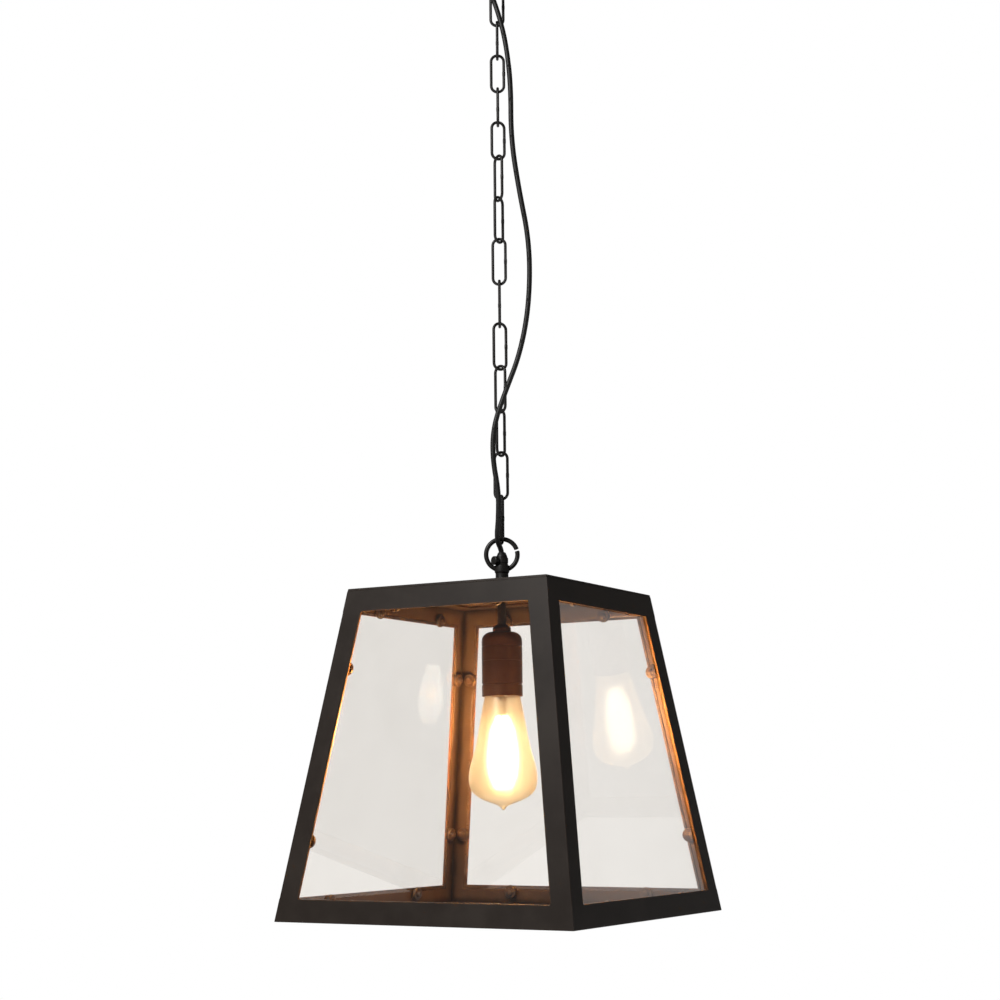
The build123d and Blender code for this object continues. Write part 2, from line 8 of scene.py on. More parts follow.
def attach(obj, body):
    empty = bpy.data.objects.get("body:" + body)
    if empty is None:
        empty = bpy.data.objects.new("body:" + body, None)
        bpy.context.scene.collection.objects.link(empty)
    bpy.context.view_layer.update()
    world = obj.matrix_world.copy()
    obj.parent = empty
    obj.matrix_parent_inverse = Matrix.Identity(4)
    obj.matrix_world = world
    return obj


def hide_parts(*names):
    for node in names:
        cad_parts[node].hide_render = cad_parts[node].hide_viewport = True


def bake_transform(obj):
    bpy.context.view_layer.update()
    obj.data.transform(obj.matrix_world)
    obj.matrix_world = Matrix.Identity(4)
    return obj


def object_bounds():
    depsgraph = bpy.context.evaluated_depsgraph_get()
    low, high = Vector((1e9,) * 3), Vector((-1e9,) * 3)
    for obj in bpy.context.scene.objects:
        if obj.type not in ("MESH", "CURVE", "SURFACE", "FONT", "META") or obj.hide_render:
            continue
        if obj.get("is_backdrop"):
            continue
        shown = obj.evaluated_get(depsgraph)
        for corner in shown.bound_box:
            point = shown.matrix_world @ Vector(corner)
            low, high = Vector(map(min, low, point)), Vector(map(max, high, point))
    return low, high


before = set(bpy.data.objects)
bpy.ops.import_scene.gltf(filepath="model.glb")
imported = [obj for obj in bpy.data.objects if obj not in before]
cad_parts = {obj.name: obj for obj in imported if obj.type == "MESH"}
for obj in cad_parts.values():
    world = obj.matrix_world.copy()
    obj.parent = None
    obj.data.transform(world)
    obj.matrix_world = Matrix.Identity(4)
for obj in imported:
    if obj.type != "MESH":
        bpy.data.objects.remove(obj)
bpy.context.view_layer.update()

scene = bpy.context.scene
scene.view_settings.view_transform = "Standard"

# Sizes in metres, as in the part's source. The ceiling is Z = 0 and the lantern hangs on the Z axis.
mm = 0.001
weld, fine_weld = 1e-6, 1e-7
hanging_turn = radians(30)
across = Vector((cos(hanging_turn), sin(hanging_turn), 0))
outward = Vector((sin(hanging_turn), -cos(hanging_turn), 0))
up = Vector((0, 0, 1))
rose_radius, rose_foot, rose_screw_z = 0.050, -0.044, -0.010
loop_z, loop_bend, loop_wire = -0.0585, 0.009, 0.004
link_wire, link_width = 0.0028, 0.0152
short_link, long_link = 0.0404, 0.0481
link_lengths = [short_link] * 5 + [long_link] * 9
link_twists = [0, 90, 0, 90, 10, -56, 52, -10, 90, 19, -42, 54, -12, -78]
link_lost = 2 * link_wire + 0.00045
first_link_top = -0.06225
ring_z, ring_bend, ring_wire = -0.62785, 0.0148, 0.0044
foot_top, grip_top = -0.63815, -0.63035
cord_diameter = 0.005
foot_width, wall_run, lantern_height = 0.300, 0.046, 0.298
roof_z, roof_sheet = -0.66335, 0.002
foot_z = roof_z - lantern_height
frame_top = roof_z - roof_sheet
flange, clip_inset = 0.020, 0.015
lean = atan2(wall_run, lantern_height)
corner_lean = atan2(sin(lean), 1)
frame_rise = (lantern_height - roof_sheet) / cos(lean)
holder_top, cap_foot, skirt_foot = -0.69435, -0.72835, -0.76135
bulb_tip, cap_rim, filament_z = -0.8660, -0.7532, -0.8145

link_tops = [first_link_top]
for length in link_lengths[:-1]:
    link_tops.append(link_tops[-1] - length + link_lost)
link_names = [f"link_{number:02d}" for number in range(1, 15)]
link_middles = [top - length / 2 for top, length in zip(link_tops, link_lengths)]
link_bends = [top - length + link_wire / 2 for top, length in zip(link_tops, link_lengths)]

# Ray depths are whole numbers, and these limits stand between them.
first_bounce, second_bounce = 0.5, 1.5
white, black = (1, 1, 1, 1), (0, 0, 0, 1)


def placed(name, data):
    """New object in the scene."""
    made = bpy.data.objects.new(name, data)
    scene.collection.objects.link(made)
    return made


# ---------------------------------------------------------------- node helpers


def socket(tree, name, way, kind):
    """One named socket on a shared group."""
    tree.interface.new_socket(name=name, in_out=way, socket_type="NodeSocket" + kind)


def add(tree, kind, **settings):
    """One node, with its settings and the values of its unlinked inputs by name."""
    node = tree.nodes.new("ShaderNode" + kind)
    for key, value in settings.items():
        if hasattr(node, key):
            setattr(node, key, value)
        else:
            node.inputs[key.replace("_", " ")].default_value = value
    return node


def worked(tree, operation, *given):
    """Result of a Math node whose inputs are sockets or plain numbers."""
    node = add(tree, "Math", operation=operation)
    for place, value in zip(node.inputs, given):
        if isinstance(value, (int, float)):
            place.default_value = value
        else:
            tree.links.new(value, place)
    return node.outputs["Value"]


def ramped(tree, value, start, end):
    """Smooth rise from 0 at start to 1 at end."""
    node = add(tree, "MapRange", interpolation_type="SMOOTHSTEP", From_Min=start, From_Max=end)
    tree.links.new(value, node.inputs["Value"])
    return node.outputs["Result"]


def blended(tree, share, first, second):
    """Colour mixed from two sockets or colours by a share."""
    node = add(tree, "Mix", data_type="RGBA")
    tree.links.new(share, node.inputs[0])
    for place, value in ((node.inputs[6], first), (node.inputs[7], second)):
        if isinstance(value, tuple):
            place.default_value = value
        else:
            tree.links.new(value, place)
    return node.outputs[2]


def noise(tree, place, scale, detail=3.0, roughness=0.55):
    """Noise over Object coordinates. The scale is a number or a socket."""
    node = add(tree, "TexNoise", Detail=detail, Roughness=roughness)
    tree.links.new(place, node.inputs["Vector"])
    if isinstance(scale, (int, float)):
        node.inputs["Scale"].default_value = scale
    else:
        tree.links.new(scale, node.inputs["Scale"])
    return node.outputs["Fac"]


def mixed_surface(tree, share, first, second, output="Material Output"):
    """Send a mix of two shaders to the output, with the second one's share."""
    mixed = add(tree, "MixShader")
    for place, given in zip(mixed.inputs, (share, first, second)):
        tree.links.new(given, place)
    tree.links.new(mixed.outputs["Shader"], tree.nodes[output].inputs["Surface"])


def bounces(tree, path):
    """How often a ray has been scattered or mirrored."""
    return worked(tree, "ADD", path["Diffuse Depth"], path["Glossy Depth"])


def straight_sight(tree, path):
    """1 on rays from the camera, straight or through glass."""
    through = worked(tree, "MAXIMUM", path["Is Camera Ray"], path["Is Transmission Ray"])
    direct = worked(tree, "LESS_THAN", bounces(tree, path), first_bounce)
    return worked(tree, "MULTIPLY", through, direct)


def mirrored_ray(tree, path):
    """1 on mirrored rays. A sharp ray through glass counts as glossy too, and is taken off."""
    return worked(tree, "SUBTRACT", path["Is Glossy Ray"], path["Is Transmission Ray"])


def first_sight(tree):
    """1 on rays from the camera, straight or through glass, and on their first mirror image."""
    path = add(tree, "LightPath").outputs
    once = worked(tree, "LESS_THAN", bounces(tree, path), second_bounce)
    mirrored = worked(tree, "MULTIPLY", mirrored_ray(tree, path), once)
    return worked(tree, "MAXIMUM", straight_sight(tree, path), mirrored)


# ---------------------------------------------------------------- finishes


def coating_group():
    """Baked or oiled metal coating: clouded colour, fine grain, and patches of smoother and rougher gloss.
    """
    tree = bpy.data.node_groups.new("metal coating", "ShaderNodeTree")
    for name in ("Colour", "Cloud Colour"):
        socket(tree, name, "INPUT", "Color")
    for name in ("Cloud Scale", "Grain Scale", "Smooth", "Rough"):
        socket(tree, name, "INPUT", "Float")
    socket(tree, "Colour", "OUTPUT", "Color")
    for name in ("Roughness", "Height"):
        socket(tree, name, "OUTPUT", "Float")
    given = tree.nodes.new("NodeGroupInput").outputs
    made = tree.nodes.new("NodeGroupOutput").inputs
    place = add(tree, "TexCoord").outputs["Object"]
    link = tree.links.new
    cloud = noise(tree, place, given["Cloud Scale"], detail=5.0, roughness=0.6)
    clouded = ramped(tree, cloud, start=0.36, end=0.68)
    link(blended(tree, clouded, given["Colour"], given["Cloud Colour"]), made["Colour"])
    gloss = add(tree, "MapRange", From_Min=0.3, From_Max=0.7)
    link(cloud, gloss.inputs["Value"])
    link(given["Smooth"], gloss.inputs["To Min"])
    link(given["Rough"], gloss.inputs["To Max"])
    link(gloss.outputs["Result"], made["Roughness"])
    link(noise(tree, place, given["Grain Scale"], detail=2.0, roughness=0.5), made["Height"])
    return tree


def shade_and_wear_group():
    """Painted shade in the inner corners of the lantern's angle, and edge wear with a painted highlight
    along its edges.
    """
    outer_skin = (0.0012, 0.0018)
    hollow_reach = (0.0030, 0.0095)
    wander_scale, wander_width = 90.0, 0.006
    toe_width, toe_clearance = 0.0009, 0.0012
    post_edge_width, foot_edge_width, edge_share = 0.0008, 0.0007, 0.12
    tree = bpy.data.node_groups.new("angle shade and wear", "ShaderNodeTree")
    for name in ("Corner", "Edge"):
        socket(tree, name, "OUTPUT", "Float")
    made = tree.nodes.new("NodeGroupOutput").inputs
    spot = add(tree, "TexCoord").outputs["Object"]
    split = add(tree, "SeparateXYZ")
    link = tree.links.new
    link(spot, split.inputs[0])

    # How far a spot lies from the outer faces of the walls, and from the foot or the top.
    above_foot = worked(tree, "SUBTRACT", split.outputs["Z"], foot_z)
    below_top = worked(tree, "SUBTRACT", frame_top, split.outputs["Z"])
    half = worked(tree, "SUBTRACT", foot_width / 2, worked(tree, "MULTIPLY", above_foot, tan(lean)))
    from_x = worked(tree, "SUBTRACT", half, worked(tree, "ABSOLUTE", split.outputs["X"]))
    from_y = worked(tree, "SUBTRACT", half, worked(tree, "ABSOLUTE", split.outputs["Y"]))
    shallow = worked(tree, "MINIMUM", from_x, from_y)
    deep = worked(tree, "MAXIMUM", from_x, from_y)
    level = worked(tree, "MINIMUM", above_foot, below_top)

    # Painted shade: the colour darkens towards the inner corner of each angle, where shade falls, and stays
    # off the outer faces.
    inside = ramped(tree, shallow, *outer_skin)
    nearest = worked(tree, "MINIMUM", deep, worked(tree, "MAXIMUM", level, shallow))
    uneven = worked(tree, "SUBTRACT", noise(tree, spot, wander_scale), 0.5)
    wander = worked(tree, "MULTIPLY", uneven, wander_width)
    open_share = ramped(tree, worked(tree, "ADD", nearest, wander), *hollow_reach)
    hollow = worked(tree, "SUBTRACT", 1.0, open_share)
    link(worked(tree, "MULTIPLY", hollow, inside), made["Corner"])

    # Lighter copper on the flanges' toes and, fainter, on the outer corner edges: edge wear, and a painted
    # highlight.
    post_toe = worked(tree, "COMPARE", deep, flange, toe_width)
    rail_toe = worked(tree, "COMPARE", level, flange, toe_width)
    mid_rail = worked(tree, "GREATER_THAN", deep, flange + toe_clearance)
    mid_post = worked(tree, "GREATER_THAN", level, flange + toe_clearance)
    post_toes = worked(tree, "MULTIPLY", post_toe, mid_post)
    rail_toes = worked(tree, "MULTIPLY", rail_toe, mid_rail)
    toes = worked(tree, "MAXIMUM", post_toes, rail_toes)
    post_edge = worked(tree, "LESS_THAN", deep, post_edge_width)
    foot_edge = worked(tree, "LESS_THAN", level, foot_edge_width)
    corners = worked(tree, "MULTIPLY", worked(tree, "MAXIMUM", post_edge, foot_edge), edge_share)
    edges = worked(tree, "MAXIMUM", toes, corners)
    patches = noise(tree, spot, scale=60.0, detail=4.0, roughness=0.65)
    edge_patches = ramped(tree, patches, start=0.40, end=0.66)
    link(worked(tree, "MULTIPLY", edges, edge_patches), made["Edge"])
    return tree


metal_coating = coating_group()
angle_shade_and_wear = shade_and_wear_group()


def material(name):
    """New material, with its node tree and its shader."""
    finish = bpy.data.materials.new(name)
    finish.use_nodes = True
    return finish, finish.node_tree, finish.node_tree.nodes["Principled BSDF"]


def coated(
    name, colour, cloud, *, scale, grain, smooth, rough, bump, metallic=0.0, specular=0.5, shade_and_wear=None
):
    """Finish made with the metal coating group. Its last argument gives the colours of the painted shade in
    inner corners and of the edge wear with its painted highlight.
    """
    grain_height = 0.0002
    finish, tree, shader = material(name)
    link = tree.links.new
    coating = tree.nodes.new("ShaderNodeGroup")
    coating.node_tree = metal_coating
    settings = {
        "Colour": (*colour, 1),
        "Cloud Colour": (*cloud, 1),
        "Cloud Scale": scale,
        "Grain Scale": grain,
        "Smooth": smooth,
        "Rough": rough,
    }
    for key, value in settings.items():
        coating.inputs[key].default_value = value
    shown = coating.outputs["Colour"]
    if shade_and_wear:
        hollow, edge_wear_and_highlight = shade_and_wear
        corner_and_edge_marks = tree.nodes.new("ShaderNodeGroup")
        corner_and_edge_marks.node_tree = angle_shade_and_wear
        # Painted shade in the inner corners, then edge wear with a painted highlight.
        shown = blended(tree, corner_and_edge_marks.outputs["Corner"], shown, (*hollow, 1))
        shown = blended(tree, corner_and_edge_marks.outputs["Edge"], shown, (*edge_wear_and_highlight, 1))
    link(shown, shader.inputs["Base Color"])
    link(coating.outputs["Roughness"], shader.inputs["Roughness"])
    relief = add(tree, "Bump", Strength=bump, Distance=grain_height)
    link(coating.outputs["Height"], relief.inputs["Height"])
    link(relief.outputs["Normal"], shader.inputs["Normal"])
    shader.inputs["Metallic"].default_value = metallic
    shader.inputs["Specular IOR Level"].default_value = specular
    return finish


def glass(name, colour, film, *, roughness, smear=0.0, ior=1.45):
    """Clear or tinted glass with a faint film, which lets lamp light through without caustics."""
    finish, tree, shader = material(name)
    link = tree.links.new
    place = add(tree, "TexCoord").outputs["Object"]
    smears = noise(tree, place, scale=14.0, detail=6.0, roughness=0.62)
    smudge = ramped(tree, smears, start=0.42, end=0.72)
    link(blended(tree, smudge, (*colour, 1), (*film, 1)), shader.inputs["Base Color"])
    shader.inputs["Roughness"].default_value = roughness
    if smear:
        gloss = add(tree, "MapRange", To_Min=roughness, To_Max=roughness + smear)
        link(smudge, gloss.inputs["Value"])
        link(gloss.outputs["Result"], shader.inputs["Roughness"])
    shader.inputs["IOR"].default_value = ior
    shader.inputs["Transmission Weight"].default_value = 1.0
    shadow = add(tree, "LightPath").outputs["Is Shadow Ray"]
    clear = add(tree, "BsdfTransparent", Color=(*colour, 1))
    mixed_surface(tree, shadow, shader.outputs["BSDF"], clear.outputs["BSDF"])
    return finish


def lit_glass(finish, middle, reach, colour, strength, mirrored_roughness):
    """Glow of a burning lamp in its glass, fading from the filament's middle.

    A pane's image shows the glass rougher. Mirrored twice, the glass shows the wire itself.
    """
    nearest_pane = 0.07
    tree = finish.node_tree
    shader = tree.nodes["Principled BSDF"]
    link = tree.links.new
    away = add(tree, "VectorMath", operation="DISTANCE")
    link(add(tree, "TexCoord").outputs["Object"], away.inputs[0])
    away.inputs[1].default_value = middle
    fade = worked(tree, "SUBTRACT", 1.0, ramped(tree, away.outputs["Value"], *reach))
    link(blended(tree, fade, black, (*colour, 1)), shader.inputs["Emission Color"])
    shader.inputs["Emission Strength"].default_value = strength
    path = add(tree, "LightPath").outputs
    from_pane = worked(tree, "GREATER_THAN", path["Ray Length"], nearest_pane)
    depth = worked(tree, "MULTIPLY", path["Glossy Depth"], from_pane)
    once = worked(tree, "GREATER_THAN", depth, first_bounce)
    twice = worked(tree, "GREATER_THAN", depth, second_bounce)
    gloss = shader.inputs["Roughness"].links[0].from_socket
    blur = worked(tree, "MULTIPLY", once, mirrored_roughness)
    link(worked(tree, "MAXIMUM", gloss, blur), shader.inputs["Roughness"])
    plain = tree.nodes["Material Output"].inputs["Surface"].links[0].from_socket
    clear = add(tree, "BsdfTransparent", Color=white)
    mixed_surface(tree, twice, plain, clear.outputs["BSDF"])


def glowing(name, colour, cooler, strength, mirrored_colour, mirrored_strength):
    """Hot wire, a little cooler towards its supports. Its mirror images burn out as the wire itself does."""
    finish, tree, shader = material(name)
    link = tree.links.new
    split = add(tree, "SeparateXYZ")
    link(add(tree, "TexCoord").outputs["Object"], split.inputs[0])
    rise = worked(tree, "SUBTRACT", split.outputs["Z"], filament_z)
    cooling = ramped(tree, worked(tree, "ABSOLUTE", rise), start=0.016, end=0.030)
    link(blended(tree, cooling, (*colour, 1), (*cooler, 1)), shader.inputs["Emission Color"])
    shader.inputs["Base Color"].default_value = (0.1, 0.08, 0.06, 1)
    shader.inputs["Emission Strength"].default_value = strength
    image = add(tree, "Emission", Color=(*mirrored_colour, 1), Strength=mirrored_strength)
    depth = add(tree, "LightPath").outputs["Glossy Depth"]
    mirrored = worked(tree, "GREATER_THAN", depth, first_bounce)
    mixed_surface(tree, mirrored, shader.outputs["BSDF"], image.outputs["Emission"])
    return finish


frame_bronze = coated(
    "frame bronze", colour=(0.027, 0.0200, 0.0160), cloud=(0.033, 0.0245, 0.0190),
    scale=26, grain=1500, smooth=0.34, rough=0.46, bump=0.02, specular=0.22,
    # Colours of the painted shade in the inner corners and of the edge wear with its painted highlight.
    shade_and_wear=((0.0060, 0.0042, 0.0034), (0.080, 0.047, 0.028)),
)
chain_black = coated(
    "chain black", colour=(0.010, 0.0085, 0.0075), cloud=(0.016, 0.0135, 0.0115),
    scale=220, grain=1600, smooth=0.36, rough=0.52, bump=0.02, specular=0.35,
)
rose_black = coated(
    "rose black", colour=(0.012, 0.0105, 0.0095), cloud=(0.017, 0.015, 0.0132),
    scale=30, grain=1500, smooth=0.36, rough=0.50, bump=0.02, specular=0.4,
)
zinc_steel = coated(
    "zinc steel", colour=(0.52, 0.51, 0.49), cloud=(0.62, 0.61, 0.58),
    scale=90, grain=1500, smooth=0.28, rough=0.45, bump=0.03, metallic=1.0,
)
clip_bronze = coated(
    "clip bronze", colour=(0.022, 0.0155, 0.0115), cloud=(0.034, 0.023, 0.016),
    scale=260, grain=1800, smooth=0.30, rough=0.45, bump=0.02, specular=0.4,
)
holder_brown = coated(
    "holder brown", colour=(0.064, 0.0285, 0.0155), cloud=(0.077, 0.0355, 0.0200),
    scale=70, grain=1600, smooth=0.30, rough=0.42, bump=0.01, specular=0.25,
)
ceramic_white = coated(
    "ceramic white", colour=(0.78, 0.76, 0.72), cloud=(0.84, 0.82, 0.78),
    scale=60, grain=800, smooth=0.2, rough=0.35, bump=0.02,
)
contact_brass = coated(
    "contact brass", colour=(0.66, 0.47, 0.20), cloud=(0.58, 0.38, 0.15),
    scale=120, grain=1500, smooth=0.25, rough=0.4, bump=0.03, metallic=1.0,
)
bulb_metal = coated(
    "bulb metal", colour=(0.60, 0.47, 0.26), cloud=(0.66, 0.55, 0.34),
    scale=150, grain=1500, smooth=0.25, rough=0.4, bump=0.03, metallic=1.0,
)
insulator_black = coated(
    "insulator black", colour=(0.012, 0.011, 0.011), cloud=(0.02, 0.018, 0.018),
    scale=200, grain=1200, smooth=0.2, rough=0.3, bump=0.02,
)
bush_rubber = coated(
    "bush rubber", colour=(0.016, 0.016, 0.016), cloud=(0.024, 0.023, 0.022),
    scale=200, grain=1500, smooth=0.6, rough=0.75, bump=0.05,
)
cord_black = coated(
    "cord black", colour=(0.008, 0.0075, 0.007), cloud=(0.012, 0.011, 0.010),
    scale=160, grain=1800, smooth=0.40, rough=0.55, bump=0.01, specular=0.35,
)
clear_glass = glass(
    "clear glass", colour=(0.996, 0.977, 0.950), film=(0.974, 0.954, 0.925), roughness=0.0, ior=1.60
)
bulb_amber = glass(
    "bulb amber", colour=(0.970, 0.86, 0.66), film=(0.960, 0.835, 0.61), roughness=0.29, smear=0.04
)
lit_glass(
    bulb_amber, middle=(0, 0, filament_z), reach=(0.022, 0.052),
    colour=(1.0, 0.52, 0.19), strength=0.05, mirrored_roughness=0.60,
)
stem_glass = glass(
    "stem glass", colour=(0.97, 0.96, 0.94), film=(0.96, 0.94, 0.91), roughness=0.02, smear=0.03
)
filament_wire = glowing(
    "filament wire", colour=(1.0, 0.84, 0.58), cooler=(1.0, 0.66, 0.30), strength=70.0,
    mirrored_colour=(1.0, 0.94, 0.82), mirrored_strength=60.0,
)


# ---------------------------------------------------------------- camera, light and stage

camera_place = (0.8700, -1.5161, -0.8534)
camera_tilt, camera_pan, camera_roll = radians(99.03), radians(29.85), radians(-0.52)
camera = placed("camera", bpy.data.cameras.new("camera"))
camera.data.lens = 67.2
camera.data.sensor_width = 36.0
camera.data.shift_x = -0.0013
camera.matrix_world = (
    Matrix.Translation(camera_place)
    @ Euler((camera_tilt, 0, camera_pan)).to_matrix().to_4x4()
    @ Matrix.Rotation(camera_roll, 4, "Z")
)
scene.camera = camera


def towards(tree, direction, start, end):
    """Rise from 0 to 1 as a ray comes nearer to a direction."""
    facing = add(tree, "VectorMath", operation="DOT_PRODUCT")
    facing.inputs[1].default_value = direction
    tree.links.new(add(tree, "TexCoord").outputs["Generated"], facing.inputs[0])
    rise = add(tree, "MapRange", From_Min=start, From_Max=end)
    tree.links.new(facing.outputs["Value"], rise.inputs["Value"])
    return rise.outputs["Result"]


def studio_world():
    """Dim room with a backdrop that is white to the camera, straight or through glass.

    Sheens that face the backdrop show it too, and panes mirror its side.
    """
    mirrored_share = 0.6
    world = bpy.data.worlds.new("studio")
    world.use_nodes = True
    tree = world.node_tree
    room = tree.nodes["Background"]
    room.inputs["Color"].default_value = (1.0, 0.985, 0.965, 1)
    room.inputs["Strength"].default_value = 0.10
    backdrop = add(tree, "Background", Color=white, Strength=1.0)
    path = add(tree, "LightPath").outputs
    behind = towards(tree, (-0.49, 0.86, 0.14), start=0.80, end=0.92)
    sheen = worked(tree, "MULTIPLY", path["Is Glossy Ray"], behind)
    sharp = worked(tree, "MULTIPLY", mirrored_ray(tree, path), path["Is Singular Ray"])
    mirrored = worked(tree, "MULTIPLY", sharp, mirrored_share)
    beside = towards(tree, (0.42, 0.86, 0.28), start=0.84, end=0.94)
    side = worked(tree, "MULTIPLY", mirrored, beside)
    seen = worked(tree, "MAXIMUM", straight_sight(tree, path), sheen)
    share = worked(tree, "MAXIMUM", seen, side)
    room_light, backdrop_light = room.outputs["Background"], backdrop.outputs["Background"]
    mixed_surface(tree, share, room_light, backdrop_light, "World Output")
    return world


def softbox(name, place, target, size, power):
    """Large soft lamp aimed at a point."""
    lamp = bpy.data.lights.new(name, "AREA")
    lamp.shape = "DISK"
    lamp.size = size
    lamp.energy = power
    made = placed(name, lamp)
    made.location = place
    made.rotation_euler = (Vector(target) - Vector(place)).to_track_quat("-Z", "Y").to_euler()
    made.visible_camera = False
    made.visible_transmission = False
    return made


def bulb_shine(lamp):
    """The bulb shines most sideways, less downwards and least into its own holder."""
    sideways = 1.9
    lost_by_rise = [(1.5, -0.05, -0.68), (1.6, 0.45, 0.80), (0.24, 0.85, 0.97)]
    lamp.use_nodes = True
    tree = lamp.node_tree
    ray = add(tree, "SeparateXYZ")
    tree.links.new(add(tree, "TexCoord").outputs["Normal"], ray.inputs[0])
    strength = sideways
    for lost, start, end in lost_by_rise:
        share = ramped(tree, ray.outputs["Z"], start, end)
        strength = worked(tree, "SUBTRACT", strength, worked(tree, "MULTIPLY", share, lost))
    tree.links.new(strength, tree.nodes["Emission"].inputs["Strength"])


def pale_floor(height, size):
    """Floor that keeps the lantern's shadow and fades to plain white away from it."""
    finish, tree, shader = material("pale floor")
    shader.inputs["Base Color"].default_value = (0.9, 0.9, 0.89, 1)
    shader.inputs["Roughness"].default_value = 0.8
    shader.inputs["Specular IOR Level"].default_value = 0.0
    away = add(tree, "VectorMath", operation="LENGTH")
    tree.links.new(add(tree, "TexCoord").outputs["Object"], away.inputs[0])
    whiteness = add(
        tree, "MapRange", interpolation_type="SMOOTHSTEP", From_Min=2.4, From_Max=6.0, To_Min=0.80
    )
    tree.links.new(away.outputs["Value"], whiteness.inputs["Value"])
    plain_white = add(tree, "Emission", Color=white, Strength=1.0)
    share = worked(tree, "MULTIPLY", first_sight(tree), whiteness.outputs["Result"])
    mixed_surface(tree, share, shader.outputs["BSDF"], plain_white.outputs["Emission"])
    form = bmesh.new()
    lowered = Matrix.Translation((0, 0, height))
    bmesh.ops.create_grid(form, x_segments=1, y_segments=1, size=size, matrix=lowered)
    mesh = bpy.data.meshes.new("floor")
    form.to_mesh(mesh)
    form.free()
    mesh.materials.append(finish)
    return placed("floor", mesh)


def keep_off(lamps, name, objects):
    """These lamps don't light these objects and don't show in their gloss."""
    unlit = bpy.data.collections.new(name)
    for shown in objects:
        unlit.objects.link(shown)
    for entry in unlit.collection_objects:
        entry.light_linking.link_state = "EXCLUDE"
    for lamp in lamps:
        lamp.light_linking.receiver_collection = unlit


scene.world = studio_world()

lantern_middle = (0, 0, -0.7)
front_softbox = softbox("front softbox", (-0.5, -2.3, 0.9), lantern_middle, size=1.0, power=58)
back_softbox = softbox("back softbox", (-1.4, 2.0, 0.5), lantern_middle, size=1.4, power=40)
back_softbox.visible_glossy = False

bulb_light = bpy.data.lights.new("bulb light", "POINT")
bulb_light.energy = 9.5
bulb_light.color = (1.0, 0.50, 0.19)
bulb_light.shadow_soft_size = 0.011
bulb_shine(bulb_light)
bulb_lamp = placed("bulb light", bulb_light)
bulb_lamp.location = (0, 0, filament_z)
bulb_lamp.visible_transmission = False
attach(bulb_lamp, "bulb")

floor = pale_floor(height=-2.4, size=20.0)
floor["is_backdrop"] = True


# ---------------------------------------------------------------- making pieces


def piece(form, name, finish, body, slot, *nodes, crease=35):
    """Close a form into an object that rides on a body and stands for CAD nodes."""
    bmesh.ops.remove_doubles(form, verts=form.verts, dist=weld)
    bmesh.ops.recalc_face_normals(form, faces=form.faces)
    mesh = bpy.data.meshes.new(name)
    form.to_mesh(mesh)
    form.free()
    mesh.shade_smooth()
    mesh.set_sharp_from_angle(angle=radians(crease))
    mesh.materials.append(finish)
    made = placed(name, mesh)
    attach(made, body)
    if nodes:
        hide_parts(*nodes)
    return made


def turned(outline, *, steps, base=0.0, closed=False, lift=0.0):
    """Form spun about the Z axis from (radius, height) or (radius, height, easing) in mm above a base.

    A lift in mm makes the turn a screw's.
    """
    form = bmesh.new()
    corners = [form.verts.new((mm * spot[0], 0, base + mm * spot[1])) for spot in outline]
    run = corners + corners[:1] if closed else corners
    for pair in zip(run, run[1:]):
        form.edges.new(pair)
    for corner, spot in zip(corners, outline):
        if len(spot) == 3:
            bmesh.ops.bevel(
                form,
                geom=[corner],
                offset=mm * spot[2],
                segments=6,
                profile=0.5,
                affect="VERTICES",
                material=-1,
            )
    bmesh.ops.spin(
        form,
        geom=form.verts[:] + form.edges[:],
        cent=(0, 0, 0),
        axis=(0, 0, 1),
        angle=2 * pi,
        steps=steps,
        dvec=(0, 0, mm * lift / steps),
        use_merge=not lift,
    )
    bmesh.ops.remove_doubles(form, verts=form.verts, dist=weld if lift else fine_weld)
    return form


def repeated(template, places):
    """One form with a copy of a template at each place."""
    stamp = bpy.data.meshes.new("stamp")
    template.to_mesh(stamp)
    template.free()
    form = bmesh.new()
    for place in places:
        stamp.transform(place)
        form.from_mesh(stamp)
        stamp.transform(place.inverted())
    bpy.data.meshes.remove(stamp)
    return form


def wire_section(sides, diameter, place):
    """Round section that a wire starts from, level at a place."""
    form = bmesh.new()
    bmesh.ops.create_circle(form, segments=sides, radius=diameter / 2, matrix=Matrix.Translation(place))
    return form


def wire_bend(form, edges, centre, turn, steps):
    """Bend the open end of a wire about a centre in the XZ plane. Gives its new end."""
    bent = bmesh.ops.spin(form, geom=edges, cent=centre, axis=(0, -1, 0), angle=turn, steps=steps)
    return [part for part in bent["geom_last"] if isinstance(part, bmesh.types.BMEdge)]


def wire_run(form, edges, travel):
    """Carry the open end of a wire straight on. Gives its new end."""
    drawn = bmesh.ops.extrude_edge_only(form, edges=edges)["geom"]
    corners = [part for part in drawn if isinstance(part, bmesh.types.BMVert)]
    bmesh.ops.translate(form, vec=travel, verts=corners)
    return [part for part in drawn if isinstance(part, bmesh.types.BMEdge) and part.is_boundary]


def hang(form, twist, height):
    """Turn a form made in the XZ plane to its twist and lift it to its height."""
    turn = Matrix.Rotation(hanging_turn + radians(twist), 3, "Z")
    bmesh.ops.rotate(form, verts=form.verts, cent=(0, 0, 0), matrix=turn)
    bmesh.ops.translate(form, vec=(0, 0, height), verts=form.verts)
    return form


def swell(form, edges, share):
    """Swell or shrink the open end of a wire about its own middle."""
    rim = list({corner for edge in edges for corner in edge.verts})
    middle = sum((corner.co for corner in rim), Vector()) / len(rim)
    bmesh.ops.scale(form, vec=(share, share, 1), space=Matrix.Translation(-middle), verts=rim)


